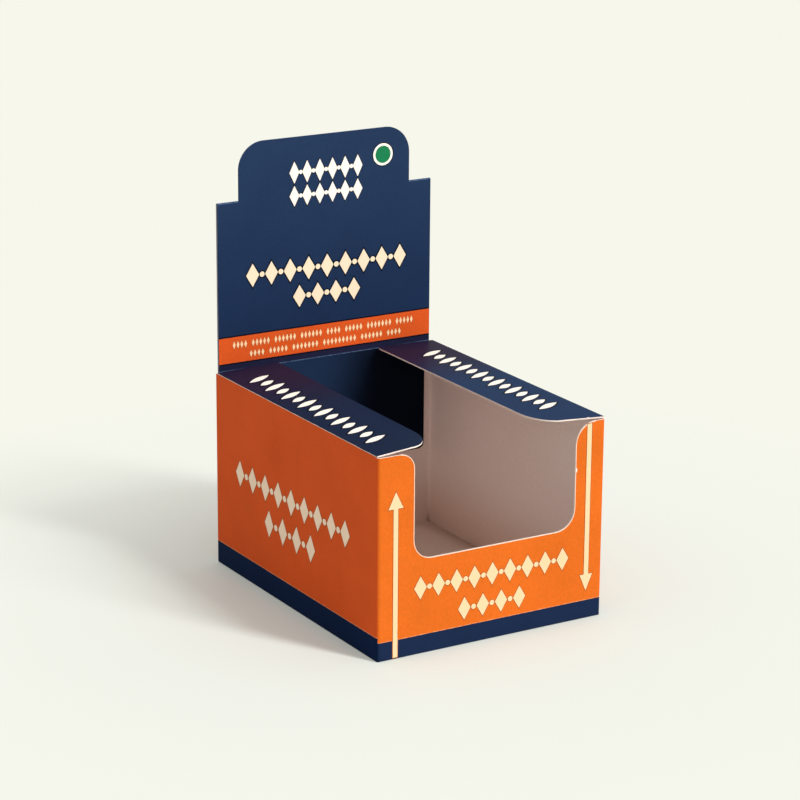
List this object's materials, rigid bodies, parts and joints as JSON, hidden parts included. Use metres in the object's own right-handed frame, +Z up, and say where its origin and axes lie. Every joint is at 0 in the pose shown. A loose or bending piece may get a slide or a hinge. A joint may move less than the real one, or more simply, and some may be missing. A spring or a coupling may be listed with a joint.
{
  "type": "counter display box",
  "caption": "Open-topped folding carton for a shop counter, with a low cut-out front, a tall doubled header with a rounded tab, and loose top flaps along the sides.",
  "frame": {"origin": "middle of the box's footprint, on the surface that it stands on", "axes": "+Z up, +Y towards the back wall and its header, +X to the right as seen from the front"},
  "size_m": [0.117, 0.148, 0.2004],
  "materials": {
    "printed_carton_board": "satin",
    "navy_carton_board": "satin"
  },
  "bodies": {
    "box": {"carton": "printed_carton_board"},
    "left_flap": {"left_top_flap": "navy_carton_board"},
    "right_flap": {"right_top_flap": "navy_carton_board"}
  },
  "joints": [
    {"name": "left_flap_fold", "type": "hinge", "parent": "box", "child": "left_flap", "pos_m": [-0.0582, 0, 0.0931], "axis": [0, -1, 0], "range_deg": [0, 180]},
    {"name": "right_flap_fold", "type": "hinge", "parent": "box", "child": "right_flap", "pos_m": [0.0582, 0, 0.0931], "axis": [0, 1, 0], "range_deg": [0, 180]}
  ]
}
